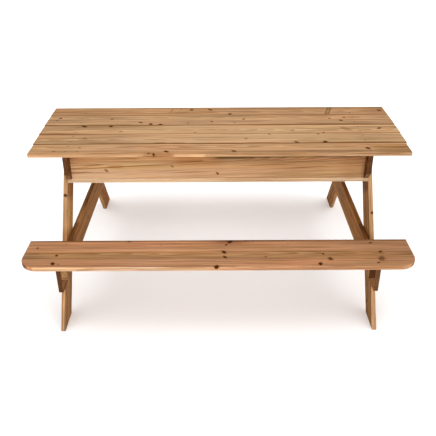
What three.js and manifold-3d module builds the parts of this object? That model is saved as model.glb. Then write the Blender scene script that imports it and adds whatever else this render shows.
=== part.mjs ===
// A wooden picnic table with a bench fixed along each side, in millimetres.
//
// +Z is up, +X runs along the boards and -Y is the front bench's side. The origin is on the ground
// under the middle of the tabletop.
//
// Two A-frames stand on edge near the table's ends. Each has two leaning legs, a cleat that carries
// the tabletop and a beam that carries both seats; the cleat and the beam are bolted to the legs'
// inner faces. An apron on edge and a flat stretcher under it tie the two frames together along each
// side, and a flat batten holds the tabletop's boards level halfway along.

import * as THREE from 'three';
import * as BufferGeometryUtils from 'three/addons/utils/BufferGeometryUtils.js';
import Module from 'manifold-3d';

const wasm = await Module();
wasm.setup();

// Heights of the two surfaces that people use.
const TOP_HEIGHT = 766;
const SEAT_HEIGHT = 376;

// Tabletop: boards from the rear to the front, each with its own width and its own end positions, and
// the gap that seasoning has left in front of it.
const TOP_THICKNESS = 20;
const TOP_DEPTH = 645;
const TOP_BOARDS = [
  { width: 124, gap: 3.5, left: -917, right: 916 },
  { width: 145, gap: 7, left: -915, right: 917 },
  { width: 117, gap: 2.5, left: -912, right: 916 },
  { width: 123, gap: 7, left: -909, right: 913 },
  { width: 116, gap: 0, left: -904, right: 906 },
];
const TOP_UNDERSIDE = TOP_HEIGHT - TOP_THICKNESS;

// Everything under the tabletop is centred this far along X: the boards were fixed 8 mm off centre.
const FRAME_CENTRE_X = -8;

// A-frames: the distance from the frames' centre to the joint face between legs and cross pieces.
const JOINT_FACE_X = 734;
const FRAME_THICKNESS = 22;
const INNER_FACE_X = JOINT_FACE_X - FRAME_THICKNESS;

// Legs: cut flat at the ground and under the tabletop.
const LEG_WIDTH = 115;
const LEG_LEAN = THREE.MathUtils.degToRad(34.2);
const FOOT_Y = 683.5;
const LEG_SLOPE = Math.tan(LEG_LEAN);
const LEG_CUT = LEG_WIDTH / Math.cos(LEG_LEAN);

// Top cleats: on edge under the tabletop, with the lower corner of each end cut off at 45 degrees.
const CLEAT_DEPTH = 134;
const CLEAT_END_Y = 322;
const CLEAT_CHAMFER = 42;
const CLEAT_BOTTOM = TOP_UNDERSIDE - CLEAT_DEPTH;

// Aprons, between the cleats, and stretchers, flat under them with their ends on the legs.
const APRON_THICKNESS = 20;
const APRON_FRONT_Y = 275;
const STRETCHER_THICKNESS = 20;
const STRETCHER_WIDTH = 115;
const STRETCHER_FRONT_Y = 278;

// Middle batten, flat under the tabletop between the two aprons.
const BATTEN_WIDTH = 95;
const BATTEN_THICKNESS = 20;
const BATTEN_CLEARANCE = 1;

// Seats: one wide board each, with its two outer corners rounded.
const SEAT_THICKNESS = 20;
const SEAT_LENGTH = 1800;
const SEAT_WIDTH = 230;
const SEAT_FRONT_Y = 696;
const SEAT_CORNER_RADIUS = 84;
const SEAT_UNDERSIDE = SEAT_HEIGHT - SEAT_THICKNESS;

// Seat beams and the blocks that fix the seats to them.
const BEAM_DEPTH = 126;
const BEAM_END_Y = 684;
const BLOCK_THICKNESS = 30;
const BLOCK_DEPTH = 55;
const BLOCK_LENGTH = 200;

// Carriage bolts, two at each crossing, with flanged nuts on the frames' inner side.
const BOLT_RADIUS = 4;
const HOLE_RADIUS = 4.5;
const HEAD_RADIUS = 10;
const HEAD_HEIGHT = 4.5;
const NECK_SIDE = 8;
const NECK_LENGTH = 4;
const NECK_CLEARANCE = 0.3;
const BOLT_TAIL = 12;
const NUT_HEX_RADIUS = 7.5;
const NUT_FLANGE_RADIUS = 9;
const NUT_FLANGE_THICKNESS = 1.6;
const NUT_HEIGHT = 8;
const NUT_BORE_RADIUS = 4.3;
const BOLT_SPREAD = 25;
const ROUND_SEGMENTS = 20;

const COLOURS = {
  top: '#bf9469',
  seat: '#ac8059',
  frame: '#a0744a',
  apron: '#b98755',
  steel: '#a9adb0',
};

function material(kind) {
  const steel = kind === 'steel';
  return new THREE.MeshStandardMaterial({
    color: COLOURS[kind],
    roughness: steel ? 0.4 : 0.75,
    metalness: steel ? 1 : 0,
  });
}

function named(name, geometry, kind) {
  const mesh = new THREE.Mesh(geometry, material(kind));
  mesh.name = name;
  return mesh;
}

// --- geometry helpers ---

function toManifold(geometry) {
  const bare = geometry.clone();
  bare.deleteAttribute('normal');
  bare.deleteAttribute('uv');
  const merged = BufferGeometryUtils.mergeVertices(bare, 1e-4);
  return new wasm.Manifold(new wasm.Mesh({
    numProp: 3,
    vertProperties: new Float32Array(merged.attributes.position.array),
    triVerts: new Uint32Array(merged.index.array),
  }));
}

function toGeometry(manifold) {
  const mesh = manifold.getMesh();
  const geometry = new THREE.BufferGeometry();
  geometry.setAttribute('position', new THREE.BufferAttribute(mesh.vertProperties, 3));
  geometry.setIndex(new THREE.BufferAttribute(mesh.triVerts, 1));
  geometry.computeVertexNormals();
  return geometry;
}

function joined(...geometries) {
  return toGeometry(geometries.map(toManifold).reduce((sum, next) => sum.add(next)));
}

function cut(geometry, cutters) {
  return toGeometry(cutters.map(toManifold).reduce((rest, next) => rest.subtract(next), toManifold(geometry)));
}

function circlePoints(u, v, radius) {
  return Array.from({ length: ROUND_SEGMENTS }, (_, index) => {
    const angle = 2 * Math.PI * index / ROUND_SEGMENTS;
    return new THREE.Vector2(u + radius * Math.cos(angle), v + radius * Math.sin(angle));
  });
}

// A square-edged board that fills the box between two corners.
function board(low, high) {
  const size = high.map((value, axis) => value - low[axis]);
  const centre = high.map((value, axis) => (value + low[axis]) / 2);
  return new THREE.BoxGeometry(...size).translate(...centre);
}

// A plate standing on edge: an outline in Y and Z, drilled at the given points, from xLow to xHigh.
function uprightPlate(outline, drilled, xLow, xHigh) {
  const shape = new THREE.Shape(outline.map(([y, z]) => new THREE.Vector2(y, z)));
  shape.holes = drilled.map(([y, z]) => new THREE.Path(circlePoints(y, z, HOLE_RADIUS)));
  const options = { depth: xHigh - xLow, bevelEnabled: false };
  const geometry = new THREE.ExtrudeGeometry(shape, options);
  const yzToUpright = new THREE.Matrix4().makeBasis(
    new THREE.Vector3(0, 1, 0), new THREE.Vector3(0, 0, 1), new THREE.Vector3(1, 0, 0));
  return geometry.applyMatrix4(yzToUpright).translate(xLow, 0, 0);
}

// X range of a layer of one frame, given its distances from the frames' centre.
function layer(side, near, far) {
  return side < 0 ? [-far, -near] : [near, far];
}

// --- where the bolts go: two at each crossing, on the leg's centre line ---

const CROSSING_HEIGHTS = {
  top: CLEAT_BOTTOM + CLEAT_DEPTH / 2,
  seat: SEAT_UNDERSIDE - BEAM_DEPTH / 2,
};

function legCentreY(end, z) {
  return end * (FOOT_Y - LEG_CUT / 2 - z * LEG_SLOPE);
}

function boltPoints(end, crossing) {
  return [-BOLT_SPREAD, BOLT_SPREAD].map((offset) => {
    const z = CROSSING_HEIGHTS[crossing] + offset;
    return [legCentreY(end, z), z];
  });
}

// --- the table's pieces ---

const ENDS = [['front', -1], ['rear', 1]];
const SIDES = [['left', -1], ['right', 1]];

function tabletopBoards() {
  let rearEdge = TOP_DEPTH / 2;
  return TOP_BOARDS.map(({ width, gap, left, right }, index) => {
    const low = [left, rearEdge - width, TOP_UNDERSIDE];
    const high = [right, rearEdge, TOP_HEIGHT];
    rearEdge -= width + gap;
    return named(`tabletop_board_${index + 1}`, board(low, high), 'top');
  });
}

function seat(name, end) {
  const half = SEAT_LENGTH / 2;
  const inner = SEAT_FRONT_Y - SEAT_WIDTH;
  const straight = SEAT_FRONT_Y - SEAT_CORNER_RADIUS;
  const shape = new THREE.Shape();
  shape.moveTo(-half, inner);
  shape.lineTo(half, inner);
  shape.absarc(half - SEAT_CORNER_RADIUS, straight, SEAT_CORNER_RADIUS, 0, Math.PI / 2, false);
  shape.absarc(SEAT_CORNER_RADIUS - half, straight, SEAT_CORNER_RADIUS, Math.PI / 2, Math.PI, false);
  shape.closePath();
  const options = { depth: SEAT_THICKNESS, bevelEnabled: false, curveSegments: ROUND_SEGMENTS };
  const geometry = new THREE.ExtrudeGeometry(shape, options);
  if (end < 0) geometry.rotateZ(Math.PI);
  return named(name, geometry.translate(0, 0, SEAT_UNDERSIDE), 'seat');
}

function leg(name, side, end) {
  const topY = FOOT_Y - TOP_UNDERSIDE * LEG_SLOPE;
  const outline = [
    [end * FOOT_Y, 0],
    [end * (FOOT_Y - LEG_CUT), 0],
    [end * (topY - LEG_CUT), TOP_UNDERSIDE],
    [end * topY, TOP_UNDERSIDE],
  ];
  const [xLow, xHigh] = layer(side, JOINT_FACE_X, JOINT_FACE_X + FRAME_THICKNESS);
  const bolts = [...boltPoints(end, 'top'), ...boltPoints(end, 'seat')];
  const pocketSide = NECK_SIDE + 2 * NECK_CLEARANCE;
  const pocketCentre = side * (JOINT_FACE_X + FRAME_THICKNESS);
  const pockets = bolts.map(([y, z]) => {
    const pocket = new THREE.BoxGeometry(2 * (NECK_LENGTH + NECK_CLEARANCE), pocketSide, pocketSide);
    return pocket.translate(pocketCentre, y, z);
  });
  return named(name, cut(uprightPlate(outline, bolts, xLow, xHigh), pockets), 'frame');
}

function topCleat(name, side) {
  const outline = [
    [-CLEAT_END_Y, TOP_UNDERSIDE],
    [-CLEAT_END_Y, CLEAT_BOTTOM + CLEAT_CHAMFER],
    [CLEAT_CHAMFER - CLEAT_END_Y, CLEAT_BOTTOM],
    [CLEAT_END_Y - CLEAT_CHAMFER, CLEAT_BOTTOM],
    [CLEAT_END_Y, CLEAT_BOTTOM + CLEAT_CHAMFER],
    [CLEAT_END_Y, TOP_UNDERSIDE],
  ];
  const bolts = ENDS.flatMap(([, end]) => boltPoints(end, 'top'));
  return named(name, uprightPlate(outline, bolts, ...layer(side, INNER_FACE_X, JOINT_FACE_X)), 'frame');
}

function seatBeam(name, side) {
  const outline = [
    [-BEAM_END_Y, SEAT_UNDERSIDE],
    [-BEAM_END_Y, SEAT_UNDERSIDE - BEAM_DEPTH],
    [BEAM_END_Y, SEAT_UNDERSIDE - BEAM_DEPTH],
    [BEAM_END_Y, SEAT_UNDERSIDE],
  ];
  const bolts = ENDS.flatMap(([, end]) => boltPoints(end, 'seat'));
  return named(name, uprightPlate(outline, bolts, ...layer(side, INNER_FACE_X, JOINT_FACE_X)), 'frame');
}

// A box whose Y range is given as distances towards the front or the rear.
function endBoard(end, [xLow, xHigh], [yNear, yFar], [zLow, zHigh]) {
  const [yLow, yHigh] = end < 0 ? [-yFar, -yNear] : [yNear, yFar];
  return board([xLow, yLow, zLow], [xHigh, yHigh, zHigh]);
}

function apron(name, end) {
  const depth = [APRON_FRONT_Y - APRON_THICKNESS, APRON_FRONT_Y];
  const geometry = endBoard(end, [-INNER_FACE_X, INNER_FACE_X], depth, [CLEAT_BOTTOM, TOP_UNDERSIDE]);
  return named(name, geometry, 'apron');
}

function stretcher(name, end) {
  const depth = [STRETCHER_FRONT_Y - STRETCHER_WIDTH, STRETCHER_FRONT_Y];
  const height = [CLEAT_BOTTOM - STRETCHER_THICKNESS, CLEAT_BOTTOM];
  return named(name, endBoard(end, [-JOINT_FACE_X, JOINT_FACE_X], depth, height), 'apron');
}

function middleBatten() {
  const reach = APRON_FRONT_Y - APRON_THICKNESS - BATTEN_CLEARANCE;
  const low = [-BATTEN_WIDTH / 2, -reach, TOP_UNDERSIDE - BATTEN_THICKNESS];
  const high = [BATTEN_WIDTH / 2, reach, TOP_UNDERSIDE];
  return named('middle_batten', board(low, high), 'frame');
}

function seatBlock(name, side, end) {
  const width = layer(side, INNER_FACE_X - BLOCK_THICKNESS, INNER_FACE_X);
  const length = [BEAM_END_Y - BLOCK_LENGTH, BEAM_END_Y];
  return named(name, endBoard(end, width, length, [SEAT_UNDERSIDE - BLOCK_DEPTH, SEAT_UNDERSIDE]), 'frame');
}

// Bolt along +X with its head's seat at x = 0 and the shank towards -X.
function carriageBolt() {
  const shankEnd = -(2 * FRAME_THICKNESS + BOLT_TAIL);
  const dome = [0, 0.35, 0.7, 1].map((t) => {
    const angle = t * Math.PI / 2;
    return new THREE.Vector2(HEAD_RADIUS * Math.cos(angle), HEAD_HEIGHT * Math.sin(angle));
  });
  dome[dome.length - 1].x = 0;
  const profile = [
    new THREE.Vector2(0, shankEnd),
    new THREE.Vector2(BOLT_RADIUS - 1, shankEnd),
    new THREE.Vector2(BOLT_RADIUS, shankEnd + 1),
    new THREE.Vector2(BOLT_RADIUS, 0),
    ...dome,
  ];
  const turned = new THREE.LatheGeometry(profile, ROUND_SEGMENTS).rotateZ(-Math.PI / 2);
  const neck = new THREE.BoxGeometry(NECK_LENGTH + 1, NECK_SIDE, NECK_SIDE);
  return joined(turned, neck.translate((1 - NECK_LENGTH) / 2, 0, 0));
}

// Flanged hexagon nut along +X with its flange's face at x = 0 and its body towards -X.
function flangedNut() {
  const ring = [
    new THREE.Vector2(NUT_BORE_RADIUS, 0),
    new THREE.Vector2(NUT_FLANGE_RADIUS, 0),
    new THREE.Vector2(NUT_FLANGE_RADIUS - 0.6, NUT_FLANGE_THICKNESS),
    new THREE.Vector2(NUT_BORE_RADIUS, NUT_FLANGE_THICKNESS),
    new THREE.Vector2(NUT_BORE_RADIUS, 0),
  ];
  const flange = new THREE.LatheGeometry(ring, ROUND_SEGMENTS).rotateZ(Math.PI / 2);
  const hexagon = new THREE.CylinderGeometry(NUT_HEX_RADIUS, NUT_HEX_RADIUS, NUT_HEIGHT, 6);
  const bore = new THREE.CylinderGeometry(NUT_BORE_RADIUS, NUT_BORE_RADIUS, 2 * NUT_HEIGHT, ROUND_SEGMENTS);
  const body = cut(hexagon, [bore]).rotateZ(Math.PI / 2).translate(-NUT_HEIGHT / 2, 0, 0);
  return joined(flange, body);
}

function fasteners(frameName, side, endName, end, crossing) {
  return boltPoints(end, crossing).flatMap(([y, z], index) => {
    const label = `${crossing}_${endName}_${frameName}_${index + 1}`;
    const bolt = named(`carriage_bolt_${label}`, carriageBolt(), 'steel');
    bolt.position.set(side * (JOINT_FACE_X + FRAME_THICKNESS), y, z);
    const nut = named(`flanged_nut_${label}`, flangedNut(), 'steel');
    nut.position.set(side * INNER_FACE_X, y, z);
    if (side < 0) {
      bolt.rotation.z = Math.PI;
      nut.rotation.z = Math.PI;
    }
    return [bolt, nut];
  });
}

// --- assembly ---

const underframe = new THREE.Group();
underframe.position.x = FRAME_CENTRE_X;
underframe.add(middleBatten());

for (const [sideName, side] of SIDES) {
  underframe.add(topCleat(`top_cleat_${sideName}`, side));
  underframe.add(seatBeam(`seat_beam_${sideName}`, side));
}

for (const [endName, end] of ENDS) {
  underframe.add(apron(`apron_${endName}`, end));
  underframe.add(stretcher(`stretcher_${endName}`, end));
  underframe.add(seat(`seat_${endName}`, end));
  for (const [sideName, side] of SIDES) {
    underframe.add(leg(`leg_${endName}_${sideName}`, side, end));
    underframe.add(seatBlock(`seat_block_${endName}_${sideName}`, side, end));
    underframe.add(...fasteners(sideName, side, endName, end, 'top'));
    underframe.add(...fasteners(sideName, side, endName, end, 'seat'));
  }
}

const picnicTable = new THREE.Group();
picnicTable.add(...tabletopBoards(), underframe);

export default picnicTable;
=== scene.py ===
"""The looks of a wooden picnic table: planed pine boards with knots, countersunk screws and bolts."""

import math
import random

import bmesh
import bpy
from mathutils import Matrix, Vector, geometry


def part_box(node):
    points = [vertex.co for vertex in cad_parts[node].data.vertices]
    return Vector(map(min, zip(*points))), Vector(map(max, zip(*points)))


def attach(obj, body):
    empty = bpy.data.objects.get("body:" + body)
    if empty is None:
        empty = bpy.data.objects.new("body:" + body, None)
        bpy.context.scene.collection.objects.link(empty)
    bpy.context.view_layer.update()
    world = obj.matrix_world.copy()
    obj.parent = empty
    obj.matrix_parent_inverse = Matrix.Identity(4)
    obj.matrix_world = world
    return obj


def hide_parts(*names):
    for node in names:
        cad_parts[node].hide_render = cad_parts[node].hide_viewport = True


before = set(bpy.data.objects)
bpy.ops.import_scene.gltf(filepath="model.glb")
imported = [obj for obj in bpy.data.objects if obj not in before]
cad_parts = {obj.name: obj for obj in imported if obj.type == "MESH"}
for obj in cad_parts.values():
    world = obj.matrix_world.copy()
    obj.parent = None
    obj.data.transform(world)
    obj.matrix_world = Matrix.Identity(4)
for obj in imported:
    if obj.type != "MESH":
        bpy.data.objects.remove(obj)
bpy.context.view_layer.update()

# Camera: where it stands, in metres, and how it is turned, in degrees. It was fitted to the outline of
# the photographed table.
CAMERA_PLACE = (-0.0046, -2.9118, 1.883)
CAMERA_PITCH = 29.53
CAMERA_YAW = 0.086
CAMERA_ROLL = -0.33
CAMERA_LENS = 49.39
SENSOR_WIDTH = 36.0

# Light and floor. A lamp's direction is in degrees, from the front towards the right, and up. Each
# lamp lights the table or the floor alone, and one of the floor's two lamps casts no shadow.
FLOOR_HALF_WIDTH = 300.0
FLOOR_COLOUR = (0.86, 0.86, 0.86)
FLOOR_ROUGHNESS = 0.9
LAMP_DISTANCE = 5.0
SKY_COLOUR = (1.0, 1.0, 1.0)
SKY_STRENGTH = 0.42
LAMPS = {
    "key": {"across": 10.0, "up": 47.0, "spread": 26.0, "strength": 3.36, "on": "table"},
    "wash": {"across": 10.0, "up": 75.0, "spread": 120.0, "strength": 1.6, "on": "floor"},
    "fill": {"across": 10.0, "up": 75.0, "spread": 120.0, "strength": 2.4, "on": "floor", "shadow": False},
}

# Boards.
ARRIS = 0.0022
ARRIS_SEGMENTS = 3
ARRIS_PROFILE = 0.5
EASED_ANGLE = math.radians(30)
CRISP_ANGLE = math.radians(42)
LEG_LEAN = math.radians(34.2)

# Countersunk wood screws, in metres from the surface down.
SCREW_HEAD_RADIUS = 0.0043
SCREW_HEAD_DEPTH = 0.0012
SCREW_THROAT_RADIUS = 0.0018
SCREW_LENGTH = 0.006
SCREW_CONE_DEPTH = 0.0026
SCREW_RIM_DEPTH = 0.0004
SCREW_EASING_DEPTH = 0.0001
SCREW_EASING = 0.0002
RECESS_RADIUS = 0.0054
RECESS_THROAT_RADIUS = 0.0046
RECESS_DEPTH = 0.0045
RECESS_LIP = 0.0002
RECESS_OVERSHOOT = 0.0010
DRIVE_RADIUS = 0.0018
DRIVE_LOBE = 0.0004
DRIVE_LOBES = 6
DRIVE_DEPTH = 0.0016
SCREW_SIDES = 24

# How far each screw of a pair is from the middle of its joint, and how far apron screws are from the
# apron's lower and upper sides, in metres.
TOP_SCREW_SPREAD = 0.032
SEAT_SCREW_SPREAD = 0.085
LEG_SCREW_SPREAD = 0.026
BLOCK_SCREW_SPREAD = 0.070
BATTEN_SCREW_SPREAD = 0.025
BATTEN_SCREW_MARGIN = 0.03
APRON_SCREW_ABOVE = 0.050
APRON_SCREW_BELOW = 0.022

# Carriage bolts and flanged nuts.
BOLT_RADIUS = 0.004
BOLT_PITCH = 0.00125
THREAD_DEPTH = 0.0006
THREAD_LENGTH = 0.034
THREAD_START = 0.0010
THREAD_RUNOUT = 0.0005
RINGS_PER_PITCH = 8
BOLT_POINT = 0.0006
HEAD_RADIUS = 0.010
HEAD_HEIGHT = 0.0045
HEAD_UNDERCUT = 0.0003
HEAD_ANGLES = [4.0 + 11.5 * k for k in range(8)]
NUT_HEX_RADIUS = 0.0075
NUT_FLANGE_RADIUS = 0.009
NUT_FLANGE_THICKNESS = 0.0016
NUT_HEIGHT = 0.008
NUT_SEAT_EASING = 0.0002
NUT_SEAT_HEIGHT = 0.0003
NUT_FLANGE_EDGE = 0.0005
NUT_FLANGE_SLOPE = 0.0008
NUT_FILLET = 0.0004
NUT_CHAMFER = 0.0009
NUT_CHAMFER_SHARE = 0.93
NUT_MOUTH = 0.0006

X, Y, Z = Vector((1, 0, 0)), Vector((0, 1, 0)), Vector((0, 0, 1))

# Pine colours, as linear red, green and blue.
PINE_COLOURS = {
    "tabletop_pine": ((0.520, 0.312, 0.162), (0.310, 0.142, 0.052)),
    "seat_pine": ((0.465, 0.238, 0.122), (0.290, 0.120, 0.047)),
    "apron_pine": ((0.500, 0.285, 0.138), (0.290, 0.125, 0.044)),
    "frame_pine": ((0.440, 0.240, 0.108), (0.230, 0.095, 0.033)),
}
WHITE = (1.0, 1.0, 1.0)
KNOT_RIM = (0.020, 0.006, 0.002)
KNOT_HEART = (0.050, 0.017, 0.005)
END_COLOUR = (0.056, 0.0145, 0.0025)
GRIME_COLOUR = (0.160, 0.058, 0.014)
HALO_TINT = (0.78, 0.62, 0.42)
WORN_TINT = (1.18, 1.22, 1.26)

PINE_SPECULAR = 0.06
PINE_BUMP = {"strength": 0.55, "distance": 0.0008}
METAL_BUMP = {"strength": 0.3, "distance": 0.0002}
RUST_COLOUR = (0.16, 0.060, 0.022)
SCREW_STEEL = {"bright": (0.30, 0.27, 0.23), "dull": (0.12, 0.10, 0.08), "rust": 0.8}
SPANGLE_NOISE = (900.0, 900.0, 900.0)
SPANGLE_LEVELS = (0.38, 0.62)
RUST_NOISE = (160.0, 160.0, 160.0)
RUST_LEVELS = (0.50, 0.62)
METAL_ROUGHNESS = 0.34
METAL_ROUGHNESS_SWING = 0.30
ZINC_PLATE = {"bright": (0.72, 0.73, 0.74), "dull": (0.50, 0.51, 0.52), "rust": 0.25}

# How strongly the streaks show on each kind of board.
CONTRASTS = {"tabletop_pine": 1.35, "seat_pine": 1.1, "apron_pine": 0.9, "frame_pine": 1.8}

# Stretches where a board's streaks are calmer, in metres along it, and how much contrast is left.
CALM_STRETCHES = {
    "tabletop_board_3": (-0.42, 0.40),
    "tabletop_board_4": (-0.42, 0.70),
    "apron_front": (-1.0, -0.08),
}
CALM_CONTRAST = 0.5
CALM_BLUR = 0.12

# How far the grain climbs across a board for each metre along it.
GRAIN_SLOPES = {"apron_front": 0.035}

# How far end grain goes towards its dark colour.
END_DARKNESS = {"tabletop_pine": 0.45, "seat_pine": 0.30, "apron_pine": 0.6, "frame_pine": 1.0}

# Knots: their width against their length along the grain, on broad faces of each kind and on narrow
# faces, and their width against how deep they go.
KNOT_STRETCHES = {"tabletop_pine": 1.15, "seat_pine": 1.35, "apron_pine": 1.2, "frame_pine": 1.2}
EDGE_KNOT_STRETCH = 1.6
KNOT_SHALLOWNESS = 1.3

# The dark streak that a knot trails along the grain, against the knot's radius.
TAIL_REACH = 2.3
TAIL_HALF_WIDTH = 0.30
TAIL_DARKNESS = 0.55

# How softly a mark ends in depth.
THROUGH_BLUR = 0.0008

# Streaks along the grain: how often each kind changes per metre, and how strongly it shows.
STREAKS = {
    "broad": {"along": 0.8, "across": 26.0, "contrast": 0.75},
    "middle": {"along": 1.9, "across": 75.0, "contrast": 1.00},
    "fine": {"along": 5.0, "across": 190.0, "contrast": 0.80},
    "fibre": {"along": 17.0, "across": 700.0, "contrast": 0.42},
}
STREAK_DETAIL = 3.0
STREAK_ROUGHNESS = 0.55
LOWEST_SHADE = 0.3

# Marks that come and go along the grain: how often each kind changes per metre, the detail of its
# noise, and the two levels of that noise between which it sets in.
MARKS = {
    "pink": {"along": 1.5, "across": 9.0, "detail": 2.0, "levels": (0.52, 0.70)},
    "olive": {"along": 1.1, "across": 16.0, "detail": 3.0, "levels": (0.56, 0.68)},
    "resin": {"along": 2.2, "across": 120.0, "detail": 2.0, "levels": (0.60, 0.70)},
    "crack": {"along": 2.0, "across": 260.0, "detail": 2.0, "levels": (0.70, 0.74)},
    "chafe": {"along": 14.0, "across": 90.0, "detail": 3.0, "levels": (0.36, 0.58)},
}
MARK_TINTS = {"pink": (1.03, 0.96, 0.92), "olive": (0.89, 0.91, 0.82), "resin": (0.58, 0.46, 0.35)}
CRACK_SHARE = 0.45
END_CRACK_SHARE = 0.5

# Growth rings: how far the pith wanders and leans, how far rings ripple and a knot pushes them, in
# metres; how uneven they are; and where in a ring late wood rises and falls, and how strongly.
PITH_WANDER = 0.05
PITH_LEAN = 0.03
RING_RIPPLE = 0.0018
KNOT_PUSH = 0.008
RING_UNEVENNESS = 1.8
LATE_RISE = (0.30, 0.90)
LATE_FALL = (1.0, 0.94)
LATE_SHARE = 0.62
END_LATE_SHARE = 0.7
END_SHADE_LEVELS = (0.30, 0.70)
END_SHADES = (0.96, 1.0)

# How often the rings' noises change per metre, and how far a board's seed moves them along each axis.
PITH_NOISE = (0.9, 3.0, 3.0)
RIPPLE_NOISE = (7.0, 50.0, 50.0)
UNEVEN_NOISE = 70.0
SEED_SHIFT = (3.1, 5.7, 2.3)

# Roughness of the wood and of its fibres, how much smoother a knot is, and what stands up or sinks in.
WOOD_ROUGHNESS = 0.56
FIBRE_ROUGHNESS = 0.25
KNOT_SMOOTHNESS = 0.12
HEIGHTS = {"late": 0.5, "fibre": 0.6, "fine": 0.8, "crack": 0.9, "knot": 0.4}

# Where a knot's tail, body, heart and halo fade in, from outside inwards, against its radius.
TAIL_FADE = (1.2, 0.5)
KNOT_FADE = (1.12, 0.97)
HEART_FADE = (0.80, 0.35)
HALO_FADE = (2.2, 0.9)
RAGGED_NOISE = (110.0, 110.0, 110.0)
RAGGED_LEAST = 0.70
RAGGED_SWING = 0.60

# How far wear reaches from an arris, how deep grime lies, and how squarely a face must face a way.
ARRIS_WEAR = 0.0034
FULL_WEAR_SHARE = 0.4
GRIME_REACH = 0.0022
GRIME_FULL = 0.0010
FACING = (0.55, 0.85)


# -------- node helpers


class Graph:
    """Short calls for building a node tree: every value may be a socket or a plain number."""

    def __init__(self, tree):
        self.tree = tree

    def node(self, kind, **settings):
        made = self.tree.nodes.new(kind)
        for name, value in settings.items():
            setattr(made, name, value)
        return made

    def feed(self, socket, value):
        if isinstance(value, bpy.types.NodeSocket):
            self.tree.links.new(value, socket)
        else:
            socket.default_value = value

    def math(self, operation, *values, clamp=False):
        made = self.node("ShaderNodeMath", operation=operation, use_clamp=clamp)
        for socket, value in zip(made.inputs, values):
            self.feed(socket, value)
        return made.outputs[0]

    def add(self, first, second):
        return self.math("ADD", first, second)

    def times(self, first, second):
        return self.math("MULTIPLY", first, second)

    def minus(self, first, second):
        return self.math("SUBTRACT", first, second)

    def vector(self, operation, *values):
        made = self.node("ShaderNodeVectorMath", operation=operation)
        for socket, value in zip(made.inputs, values):
            self.feed(socket, value)
        return made.outputs["Value" if operation in ("DOT_PRODUCT", "LENGTH") else "Vector"]

    def combine(self, x, y, z):
        made = self.node("ShaderNodeCombineXYZ")
        for socket, value in zip(made.inputs, (x, y, z)):
            self.feed(socket, value)
        return made.outputs[0]

    def separate(self, vector):
        made = self.node("ShaderNodeSeparateXYZ")
        self.feed(made.inputs[0], vector)
        return made.outputs

    def step(self, value, low, high, out_low=0.0, out_high=1.0):
        """A smooth step from out_low to out_high as value goes from low to high."""
        made = self.node("ShaderNodeMapRange", interpolation_type="SMOOTHSTEP")
        for socket, number in zip(made.inputs, (value, low, high, out_low, out_high)):
            self.feed(socket, number)
        return made.outputs[0]

    def noise(self, coords, stretch, detail=2.0, roughness=0.5):
        """Noise over coords multiplied by stretch: returns the node's outputs."""
        made = self.node("ShaderNodeTexNoise")
        self.feed(made.inputs["Vector"], self.vector("MULTIPLY", coords, stretch))
        made.inputs["Scale"].default_value = 1.0
        made.inputs["Detail"].default_value = detail
        made.inputs["Roughness"].default_value = roughness
        return made.outputs

    def mix(self, factor, first, second, blend="MIX"):
        made = self.node("ShaderNodeMix", data_type="RGBA", blend_type=blend)
        self.feed(made.inputs["Factor"], factor)
        self.feed(made.inputs["A"], first)
        self.feed(made.inputs["B"], second)
        return made.outputs["Result"]

    def tinted(self, factor, colour, tint):
        """colour multiplied by tint where factor is 1."""
        return self.mix(factor, colour, colour4(tint), "MULTIPLY")


def colour4(colour):
    return (*colour, 1.0)


# -------- pine


PINE_INPUTS = {
    "NodeSocketVector": ("Board", "Pith"),
    "NodeSocketFloat": (
        "Seed", "Ring", "Contrast", "Knot", "Heart", "Halo", "End", "EndDark", "Broad", "Arris", "Grime",
    ),
    "NodeSocketColor": ("Early", "Late", "Tint", "BroadTint", "NarrowTint"),
}
PINE_OUTPUTS = {"NodeSocketColor": ("Colour",), "NodeSocketFloat": ("Roughness", "Height")}


def growth_rings(g, given, place):
    """The late wood of rings round a leaning, wandering pith line, pushed aside by knots."""
    here = g.separate(given["Board"])
    pith = g.separate(given["Pith"])
    wander = g.separate(g.noise(place, PITH_NOISE)["Color"])
    across = g.add(g.minus(here[1], pith[1]), g.times(g.minus(wander[0], 0.5), PITH_WANDER))
    lean = g.add(g.times(here[0], pith[0]), g.times(g.minus(wander[1], 0.5), PITH_LEAN))
    through = g.add(g.minus(here[2], pith[2]), lean)
    radius = g.vector("LENGTH", g.combine(0.0, across, through))
    ripple = g.times(g.noise(place, RIPPLE_NOISE)["Fac"], RING_RIPPLE)
    pushed = g.add(g.add(radius, ripple), g.times(given["Halo"], KNOT_PUSH))
    uneven = g.noise(g.combine(g.times(pushed, UNEVEN_NOISE), given["Seed"], 0.0), (1, 1, 1), 1.0)["Fac"]
    rings = g.add(g.math("DIVIDE", pushed, given["Ring"]), g.times(uneven, RING_UNEVENNESS))
    turn = g.math("FRACT", rings)
    return g.times(g.step(turn, *LATE_RISE), g.step(turn, *LATE_FALL))


def mark_mask(g, place, kind):
    """1 where a kind of mark has set in, and 0 where it hasn't."""
    mark = MARKS[kind]
    stretch = (mark["along"], mark["across"], mark["across"])
    return g.step(g.noise(place, stretch, mark["detail"])["Fac"], *mark["levels"])


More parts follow.
